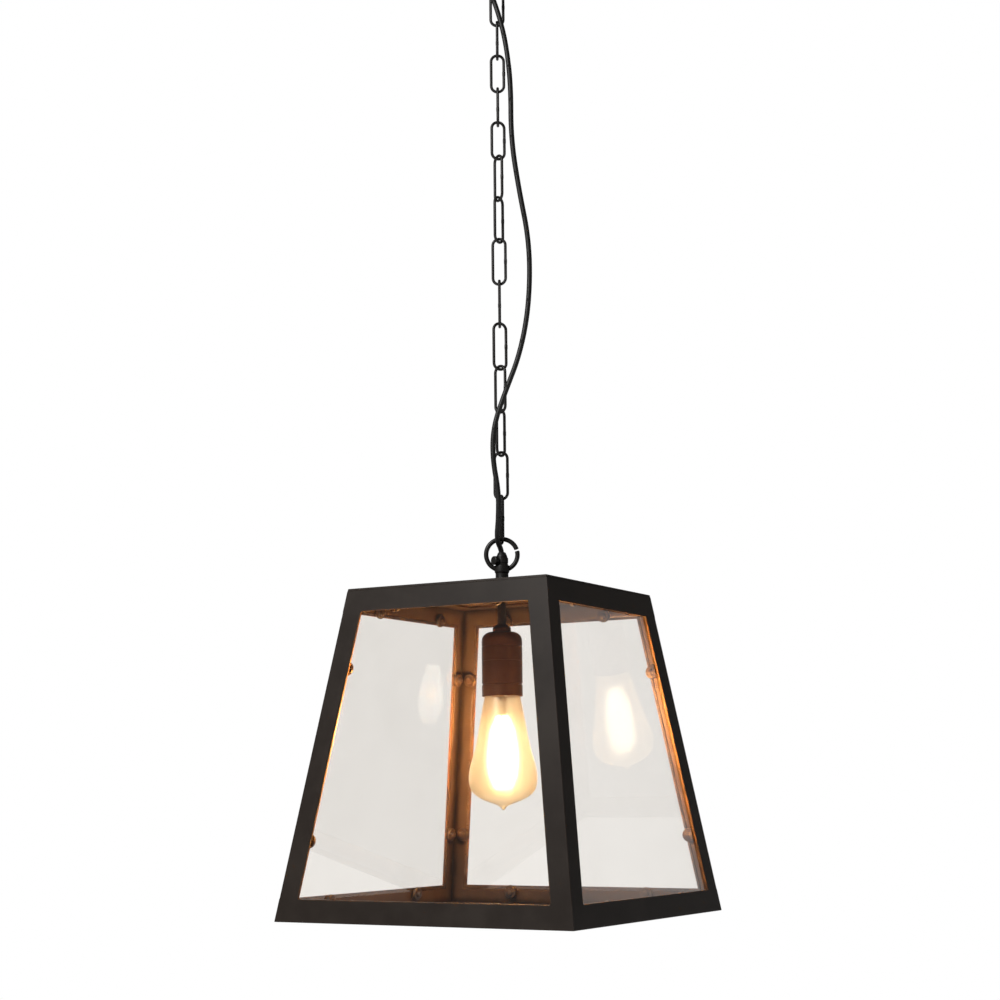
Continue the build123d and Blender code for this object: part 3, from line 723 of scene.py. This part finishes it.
def chain_link(length):
    """Welded link: two straight sides and two half-round bows of one wire, with a weld bead on one side."""
    bow = (link_width - link_wire) / 2
    half_run = (length - link_wire) / 2 - bow
    bow_steps = 14
    bead, taper, swelling = 0.0016, 0.0009, 1.13
    form = wire_section(16, link_wire, (bow, 0, -half_run))
    end = wire_run(form, list(form.edges), (0, 0, half_run - bead - taper))
    end = wire_run(form, end, (0, 0, taper))
    swell(form, end, swelling)
    end = wire_run(form, end, (0, 0, 2 * bead))
    end = wire_run(form, end, (0, 0, taper))
    swell(form, end, 1 / swelling)
    end = wire_run(form, end, (0, 0, half_run - bead - taper))
    end = wire_bend(form, end, (0, 0, half_run), pi, bow_steps)
    end = wire_run(form, end, (0, 0, -2 * half_run))
    wire_bend(form, end, (0, 0, -half_run), pi, bow_steps)
    return form


def eased(node, radius, plain, segments=2):
    """Copy of a CAD node with its edges eased, apart from those of the faces that stay plain."""
    flat, sharp = radians(1), radians(25)
    form = bmesh.new()
    form.from_mesh(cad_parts[node].data)
    bmesh.ops.remove_doubles(form, verts=form.verts, dist=weld)
    bmesh.ops.dissolve_limit(form, angle_limit=flat, verts=form.verts, edges=form.edges)
    edges = [
        edge
        for edge in form.edges
        if edge.calc_face_angle(0) > sharp and not any(plain(face) for face in edge.link_faces)
    ]
    bmesh.ops.bevel(
        form,
        geom=edges,
        offset=radius,
        segments=segments,
        profile=0.5,
        affect="EDGES",
        material=-1,
        clamp_overlap=True,
    )
    return form


# ---------------------------------------------------------------- cord

# The route's points run across the ring's plane, up, and out from it, in metres.
bush_exit = (-0.0100, -0.0465, 0.0130)
cord_route = [
    bush_exit,
    (-0.0100, -0.0585, 0.0130),
    (-0.0062, -0.0720, 0.0134),
    (0.0016, -0.0950, 0.0144),
    (0.0086, -0.1260, 0.0150),
    (0.0129, -0.1680, 0.0140),
    (0.0125, -0.2220, 0.0130),
    (0.0194, -0.2720, 0.0120),
    (0.0295, -0.3270, 0.0110),
    (0.0286, -0.3860, 0.0115),
    (0.0194, -0.4360, 0.0130),
    (0.0035, -0.4770, 0.0150),
    (-0.0069, -0.5080, 0.0160),
    (-0.0080, -0.5380, 0.0160),
    (-0.0026, -0.5700, 0.0150),
    (-0.0028, -0.5940, 0.0135),
    (-0.0049, -0.6145, 0.0076),
    (0.0, grip_top + 0.0062, 0.0),
    (0.0, grip_top, 0.0),
]


def curve_mesh(name, kind, points, resolution=12, depth=0.0):
    """Mesh of one open spline through or near points, as a line or as a tube."""
    curve = bpy.data.curves.new(name, "CURVE")
    curve.dimensions = "3D"
    curve.bevel_depth = depth
    curve.bevel_resolution = 3
    curve.use_fill_caps = True
    spline = curve.splines.new(kind)
    spline.points.add(len(points) - 1)
    for point, place in zip(spline.points, points):
        point.co = (*place, 1)
    if kind == "NURBS":
        spline.order_u = 3
        spline.use_endpoint_u = True
        spline.resolution_u = resolution
    holder = bpy.data.objects.new(name, curve)
    mesh = bpy.data.meshes.new_from_object(holder)
    bpy.data.objects.remove(holder)
    bpy.data.curves.remove(curve)
    if depth:
        form = bmesh.new()
        form.from_mesh(mesh)
        bmesh.ops.remove_doubles(form, verts=form.verts, dist=weld)
        form.to_mesh(mesh)
        form.free()
    return mesh


cord_control = [a * across + z * up + b * outward for a, z, b in cord_route]
cord_line = curve_mesh("cord line", "NURBS", cord_control)
cord_points = [vertex.co.copy() for vertex in cord_line.vertices]

# The cord is cut at the links' middles, so that each length holds one joint.
over_ceiling, under_lantern = 0.1, -1.0
end_bend_run, bend_run_share = 0.012, 0.38
bodies_down = ["ceiling", *link_names, "lantern"]
cuts = [over_ceiling, *link_middles, under_lantern]
joint_heights = [loop_z - loop_bend, *link_bends]
bend_runs = [end_bend_run, *(bend_run_share * length for length in link_lengths[1:]), end_bend_run]
cord_lengths = zip(bodies_down, bodies_down[1:], cuts, cuts[1:], joint_heights, bend_runs)
for number, (above, below, high, low, joint_height, half_bend) in enumerate(cord_lengths, 1):
    inside = [spot for spot, point in enumerate(cord_points) if low <= point.z <= high]
    stretch = cord_points[max(inside[0] - 1, 0) : inside[-1] + 2]
    tube_mesh = curve_mesh("cord", "POLY", stretch, depth=cord_diameter / 2)
    tube = placed(f"cord_{number:02d}", tube_mesh)
    tube.data.materials.clear()
    tube.data.materials.append(cord_black)
    tube.data.shade_smooth()
    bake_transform(tube)
    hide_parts("cord")


# ---------------------------------------------------------------- ceiling rose and loop

rose_outline = [
    (50, 0),
    (50, -4),
    (49.5, -4.6),
    (49.5, -5.4),
    (50, -6),
    (50, -44, 4),
    (5.2, -44),
    (5.2, -42.8),
    (48.8, -42.8, 3),
    (48.8, 0),
]
piece(
    turned(rose_outline, steps=96, closed=True),
    "spun_ceiling_rose",
    rose_black,
    "ceiling",
    "rose_black",
    "ceiling_rose",
)

screw_outline = [(0, -5), (2, -5), (2, 0), (4, 0, 0.4), (4, 1.4, 0.7), (2.2, 2.4), (0, 2.4)]
screw_places = [
    Matrix.Translation((side * rose_radius, 0, rose_screw_z)) @ Matrix.Rotation(side * pi / 2, 4, "Y")
    for side in (-1, 1)
]
piece(
    repeated(turned(screw_outline, steps=32), screw_places),
    "thumb_screws",
    chain_black,
    "ceiling",
    "chain_black",
    "rose_screws",
)

eye = wire_section(20, loop_wire, (loop_bend, 0, 0))
bmesh.ops.spin(
    eye,
    geom=eye.verts[:] + eye.edges[:],
    cent=(0, 0, 0),
    axis=(0, -1, 0),
    angle=2 * pi,
    steps=48,
    use_merge=True,
)
piece(hang(eye, 90, loop_z), "loop_eye", chain_black, "ceiling", "chain_black", "ceiling_loop")
collar_outline = [(0, -5), (6, -5), (7, -4), (7, 0), (5, 0), (5, 14), (0, 14)]
collar = turned(collar_outline, steps=40, base=rose_foot)
piece(collar, "loop_collar", chain_black, "ceiling", "chain_black", "ceiling_loop")

grommet_outline = [(2.5, -2.5), (7, -2.5, 0.9), (7, 0, 0.4), (4.6, 0), (4.6, 2.5, 0.5), (2.5, 2.5)]
grommet = turned(grommet_outline, steps=40, closed=True)
grommet_place = bush_exit[0] * across + (bush_exit[1] + 0.0025) * up + bush_exit[2] * outward
bmesh.ops.translate(grommet, vec=grommet_place, verts=grommet.verts)
piece(grommet, "rubber_grommet", bush_rubber, "ceiling", "bush_rubber", "cord_bush")


# ---------------------------------------------------------------- chain

for name, length, middle, twist in zip(link_names, link_lengths, link_middles, link_twists):
    welded = hang(chain_link(length), twist, middle)
    piece(welded, f"welded_{name}", chain_black, name, "chain_black", f"chain_{name}")


# ---------------------------------------------------------------- suspension ring and cord grip

ring_sides, ring_easing = 20, 0.0004
ring_split, split_width = radians(16), 0.0016
split_turn = split_width / ring_bend
ring = wire_section(ring_sides, ring_wire, (ring_bend, 0, 0))
to_split = Matrix.Rotation(-ring_split - split_turn / 2, 3, "Y")
bmesh.ops.rotate(ring, verts=ring.verts, cent=(0, 0, 0), matrix=to_split)
wire_bend(ring, list(ring.edges), (0, 0, 0), 2 * pi - split_turn, 60)
open_ends = [edge for edge in ring.edges if edge.is_boundary]
bmesh.ops.holes_fill(ring, edges=open_ends, sides=ring_sides)
rims = [edge for edge in ring.edges if any(len(face.verts) == ring_sides for face in edge.link_faces)]
bmesh.ops.bevel(
    ring, geom=rims, offset=ring_easing, segments=2, profile=0.5, affect="EDGES", material=-1
)
piece(hang(ring, 0, ring_z), "split_ring", chain_black, "lantern", "chain_black", "suspension_ring")

ring_foot_outline = [
    (4.1, 0),
    (7, 0),
    (7, 3.6, 0.8),
    (6.1, 5),
    (6.1, 17.6),
    (7, 18.8, 0.4),
    (7, 25.2, 0.7),
    (4.1, 25.2),
]
piece(
    turned(ring_foot_outline, steps=48, base=roof_z, closed=True),
    "turned_ring_foot",
    chain_black,
    "lantern",
    "chain_black",
    "suspension_ring",
)
grip_outline = [
    (2.55, 0),
    (6, 0, 0.4),
    (6, 1.0),
    (5.6, 1.3),
    (5.6, 1.9),
    (6, 2.2),
    (6, 7.8, 1.6),
    (2.55, 7.8, 0.5),
]
grip = turned(grip_outline, steps=48, base=foot_top, closed=True)
piece(grip, "grip_barrel", chain_black, "lantern", "chain_black", "cord_grip")

boot_outline = [(2.55, 0), (5.2, 0), (5.0, 1.2, 0.4), (3.5, 4.6, 0.6), (2.55, 4.6)]
boot = turned(boot_outline, steps=40, base=grip_top, closed=True)
piece(boot, "cord_boot", cord_black, "lantern", "cord_black")

knurl_margin, knurl_depth = 0.00012, 0.00022
shank_radius, knob_out, knob_drop, knob_twist = 0.003, 0.0062, 0.0037, 40
knob_outline = [(0, -3.6), (1.5, -3.6), (1.5, 0), (4.2, 0, 0.6), (4.2, 4.4, 1.0), (0, 4.4)]
knob = turned(knob_outline, steps=32)
knurls = [
    face
    for face in knob.faces
    if abs(face.normal.z) < 0.1 and face.calc_center_median().xy.length > shank_radius
]
bmesh.ops.inset_individual(knob, faces=knurls, thickness=knurl_margin, depth=-knurl_depth)
bmesh.ops.rotate(knob, verts=knob.verts, cent=(0, 0, 0), matrix=Matrix.Rotation(-pi / 2, 3, "Y"))
bmesh.ops.translate(knob, vec=(-knob_out, 0, 0), verts=knob.verts)
piece(
    hang(knob, knob_twist, grip_top - knob_drop),
    "knurled_grip_knob",
    chain_black,
    "lantern",
    "chain_black",
    "grip_screw",
    crease=20,
)


# ---------------------------------------------------------------- frame and roof


def on_level(face):
    """A post's sawn ends, which butt on the rails."""
    return abs(face.normal.z) > 0.99


def on_seam(face):
    """A rail's mitred ends, and its toe, which the posts' ends butt on."""
    height = face.calc_center_median().z
    at_toe = min(abs(height - foot_z - flange), abs(height - frame_top + flange)) < 1e-4
    upright = abs(face.normal.z) < 0.01
    return at_toe or (upright and abs(abs(face.normal.x) - abs(face.normal.y)) < 0.01)


def under_roof(face):
    """The roof's underside, which lies on the frame."""
    return face.normal.z < -0.9


def nowhere(face):
    """No face stays plain."""
    return False


def eased_piece(node, name, finish, slot, radius, plain, crease, segments=2):
    """A CAD node of the lantern with its edges eased."""
    form = eased(node, radius, plain, segments)
    return piece(form, name, finish, "lantern", slot, node, crease=crease)


angle_easing, pane_easing, roof_easing = 0.0005, 0.0004, 0.0006
panes = []
for corner in ("front_right", "back_right", "back_left", "front_left"):
    node = f"corner_post_{corner}"
    eased_piece(node, f"angle_{node}", frame_bronze, "frame_bronze", angle_easing, on_level, crease=15)
for side in ("front", "right", "back", "left"):
    for level in ("bottom", "top"):
        node = f"{level}_rail_{side}"
        eased_piece(node, f"angle_{node}", frame_bronze, "frame_bronze", angle_easing, on_seam, crease=15)
    node = f"glass_pane_{side}"
    pane_name = f"seamed_{node}"
    panes.append(
        eased_piece(node, pane_name, clear_glass, "clear_glass", pane_easing, nowhere, crease=20, segments=1)
    )
eased_piece("roof_plate", "roof_sheet", frame_bronze, "frame_bronze", roof_easing, under_roof, crease=15)
keep_off([front_softbox, back_softbox], "not lit by the softboxes", panes)


# ---------------------------------------------------------------- clips


def edge_at(rise, inset=0.0):
    """Distance from a wall's middle to a line that lies inset inside its corner edge."""
    return foot_width / 2 - rise * tan(corner_lean) - inset / cos(corner_lean)


def wall_place(turn, along, rise, depth):
    """Place on a wall seen from outside: along its foot, up its slope and behind its outer face."""
    return (
        Matrix.Rotation(radians(turn), 4, "Z")
        @ Matrix.Translation((0, -foot_width / 2, foot_z))
        @ Matrix.Rotation(pi / 2 - lean, 4, "X")
        @ Matrix.Translation((along, rise, -depth))
    )


post_clip_shares, rail_clip_share = (0.24, 0.76), 0.5
clip_spots = []
for hand in (-1, 1):
    for share in post_clip_shares:
        clip_spots.append((hand * edge_at(frame_rise * share, clip_inset), frame_rise * share))
    for rise in (clip_inset, frame_rise - clip_inset):
        clip_spots.append((hand * rail_clip_share * edge_at(rise), rise))


def at_clips(template, depth):
    """A template at every clip on all four walls, at a depth behind the outer face."""
    walls = (0, 90, 180, 270)
    return repeated(template, [wall_place(turn, *spot, depth) for turn in walls for spot in clip_spots])


flange_back, pane_back, washer_back = 0.002, 0.005, 0.008
stud = turned([(0, 0), (1.75, 0), (1.75, -6), (0, -6)], steps=16)
studs = at_clips(stud, flange_back)
piece(studs, "clip_stud_rods", clip_bronze, "lantern", "clip_bronze", "clip_studs")
washer = turned([(0, 0), (6.5, 0, 0.3), (6.5, -3, 1.2), (0, -3)], steps=32)
washers = at_clips(washer, pane_back)
piece(washers, "clip_washers", clip_bronze, "lantern", "clip_bronze", "clip_discs")
dome_outline = [(0, 0), (3.6, 0), (3.6, -1.3, 0.3), (3.0, -1.5), (2.8, -2.4), (1.7, -2.9), (0, -3)]
domes = at_clips(turned(dome_outline, steps=24), washer_back)
piece(domes, "clip_dome_nuts", clip_bronze, "lantern", "clip_bronze", "clip_cap_nuts")


# ---------------------------------------------------------------- stem and lampholder

stem_foot = holder_top - 0.007
stem_outline = [(3, 0), (4, 0), (4, 63.2, 0.4), (3, 63.2)]
stem = turned(stem_outline, steps=40, base=stem_foot, closed=True)
piece(stem, "hollow_stem", chain_black, "lantern", "chain_black", "stem_tube")
cap_outline = [
    (17, 0),
    (19, 0, 0.4),
    (19, 12.8),
    (18.6, 13.2),
    (18.6, 13.8),
    (19, 14.2),
    (19, 27, 8.6),
    (8.6, 27, 0.5),
    (8.5, 31, 0.8),
    (4.8, 34, 0.3),
    (4.1, 34),
    (4.1, 19.5),
    (17, 18.5),
]
cap = turned(cap_outline, steps=80, base=cap_foot, closed=True)
piece(cap, "turned_holder_cap", holder_brown, "lantern", "holder_brown", "lampholder_cap")
skirt_outline = [
    (17, 0),
    (19, 0, 0.3),
    (19, 10.2),
    (18.3, 10.8),
    (18.3, 11.6),
    (19, 12.2),
    (19, 33, 0.4),
    (16.8, 33),
    (16.8, 44),
    (15, 44),
    (15, 31),
    (17, 31),
]
skirt = turned(skirt_outline, steps=80, base=skirt_foot, closed=True)
piece(skirt, "turned_holder_skirt", holder_brown, "lantern", "holder_brown", "lampholder_skirt")


# ---------------------------------------------------------------- bulb

bulb_outline = [
    (0, 0.1),
    (1.5, 0.4),
    (2.4, 2.2),
    (4.2, 4.5),
    (13.8, 7.4),
    (24.9, 12.3),
    (31.4, 19.4),
    (32.4, 30.5),
    (30.5, 42),
    (27, 52),
    (24, 65),
    (20.8, 83.6),
    (17.2, 102),
    (16.1, 107),
    (14.5, 111),
    (13.0, 112.8),
]
blown = piece(
    turned(bulb_outline, steps=32, base=bulb_tip),
    "blown_bulb_glass",
    bulb_amber,
    "bulb",
    "bulb_amber",
    "bulb_glass",
    crease=80,
)
rounding = blown.modifiers.new("rounding", "SUBSURF")
rounding.levels = rounding.render_levels = 2
wall = blown.modifiers.new("wall", "SOLIDIFY")
wall.thickness = 0.0009
wall.offset = -1
keep_off([bulb_lamp], "not lit by the bulb light", [blown])

# Screw cap: a ridged outline that climbs one pitch in a turn, and fades into the plain top.
pitch, ridges, root, cap_wall = 3.6, 5, 12.1, 0.0004
thread_foot, fade_end, fade_run = cap_rim + 0.0005, cap_rim + 0.0215, 0.0055
ridge = [(root, 0), (12.25, 0.5), (12.85, 1.2), (13.05, 1.8), (12.85, 2.4), (12.25, 3.1)]
thread_outline = [(radius, pitch * turn + rise) for turn in range(ridges) for radius, rise in ridge]
thread_outline.append((root, pitch * ridges))
thread = turned(thread_outline, steps=48, base=thread_foot, lift=pitch)
for corner in thread.verts:
    radius = corner.co.xy.length
    height_share = min(1.0, max(0.0, (fade_end - corner.co.z) / fade_run))
    corner.co.xy *= (mm * root + height_share * (radius - mm * root)) / radius
bmesh.ops.recalc_face_normals(thread, faces=thread.faces)
bmesh.ops.solidify(thread, geom=thread.faces[:], thickness=cap_wall)
piece(thread, "bulb_cap_thread", bulb_metal, "bulb", "bulb_metal", "bulb_cap", crease=40)
rim_outline = [(12.4, 0), (13.1, 0, 0.2), (13.1, 4.4, 0.5), (12.0, 4.6), (12.0, 0.4)]
rim = turned(rim_outline, steps=48, base=cap_rim, closed=True)
piece(rim, "bulb_cap_rim", bulb_metal, "bulb", "bulb_metal", "bulb_cap")
top_outline = [(11.6, 17.9), (12.12, 17.9), (12.12, 25, 0.6), (11.6, 25)]
plain_top = turned(top_outline, steps=48, base=cap_rim, closed=True)
piece(plain_top, "bulb_cap_top", bulb_metal, "bulb", "bulb_metal", "bulb_cap")

mount_top = cap_rim - 0.0005
mount_outline = [
    (0, 0),
    (11.4, 0, 0.3),
    (11.4, -0.9, 0.3),
    (7, -2.4),
    (4.8, -7),
    (4.4, -20),
    (3.6, -25),
    (1.6, -28),
    (0, -28),
]
mount = turned(mount_outline, steps=40, base=mount_top)
piece(mount, "flared_bulb_mount", stem_glass, "bulb", "stem_glass", "bulb_stem")

# The filament runs up and down the legs of a cage.
cage_legs, filament_radius = 12, 0.0008
cage_low, cage_high = bulb_tip + 0.020, bulb_tip + 0.086
leg_spots = [
    (0.0045, cage_high),
    (0.0090, cage_high - 0.010),
    (0.0122, cage_high - 0.032),
    (0.0120, cage_low + 0.016),
    (0.0066, cage_low),
]
filament_route = []
for leg in range(cage_legs):
    leg_turn = 2 * pi * leg / cage_legs
    for radius, height in leg_spots if leg % 2 else leg_spots[::-1]:
        filament_route.append((radius * cos(leg_turn), radius * sin(leg_turn), height))
filament = bmesh.new()
filament.from_mesh(curve_mesh("filament", "NURBS", filament_route, resolution=10, depth=filament_radius))
piece(filament, "coiled_filament", filament_wire, "bulb", "filament_wire", "filament")


# ---------------------------------------------------------------- finishes of the CAD nodes that stay

kept_nodes = {
    chain_black: ["loop_nut", "roof_nut"],
    zinc_steel: ["mounting_bracket"],
    ceramic_white: ["terminal_block", "lampholder_insert"],
    contact_brass: ["thread_sleeve", "centre_contact", "filament_supports"],
    insulator_black: ["bulb_contact"],
    cord_black: ["inner_lead"],
}
for finish, names in kept_nodes.items():
    for name in names:
        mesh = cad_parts[name].data
        mesh.materials.clear()
        mesh.materials.append(finish)

low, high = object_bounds()
